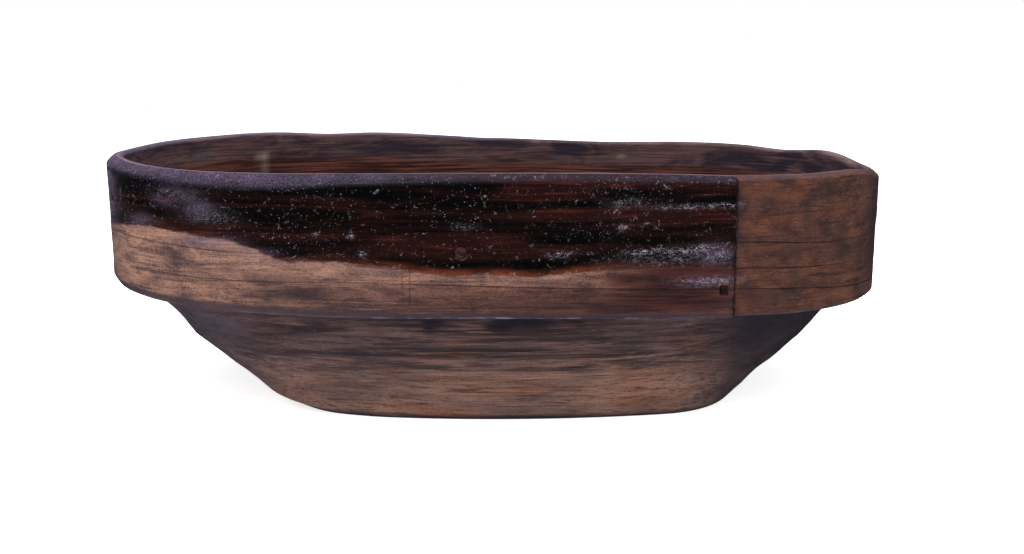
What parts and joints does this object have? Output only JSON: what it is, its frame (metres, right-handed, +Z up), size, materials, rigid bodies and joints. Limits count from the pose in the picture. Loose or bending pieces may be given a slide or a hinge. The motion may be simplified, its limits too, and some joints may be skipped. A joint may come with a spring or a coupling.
{
  "type": "bentwood bowl",
  "caption": "Long oval wooden bowl: a flat-footed carved base inside one bent strip of wood, whose lapped ends are bonded and pegged on the front.",
  "frame": {"origin": "middle of the flat foot, on the surface that the bowl stands on", "axes": "+Z up, +X along the bowl's length, -Y towards the side with the lapped joint"},
  "size_m": [0.3, 0.1803, 0.095],
  "materials": {
    "base_wood": "hand-carved grey-brown hardwood, worn and dry, with dark stains and a dull oily sheen",
    "band_wood": "bent strip of brown wood with lengthwise grain, partly under thick near-black red-brown lacquer",
    "bond": "hard dark lacquer that bonds the lapped ends",
    "peg_wood": "small dark hardwood pegs, end grain showing"
  },
  "bodies": {
    "root": {"carved_base": "base_wood", "rim_band": "band_wood", "lap_bond": "bond", "lap_peg": "peg_wood", "seam_peg": "peg_wood"}
  },
  "joints": []
}
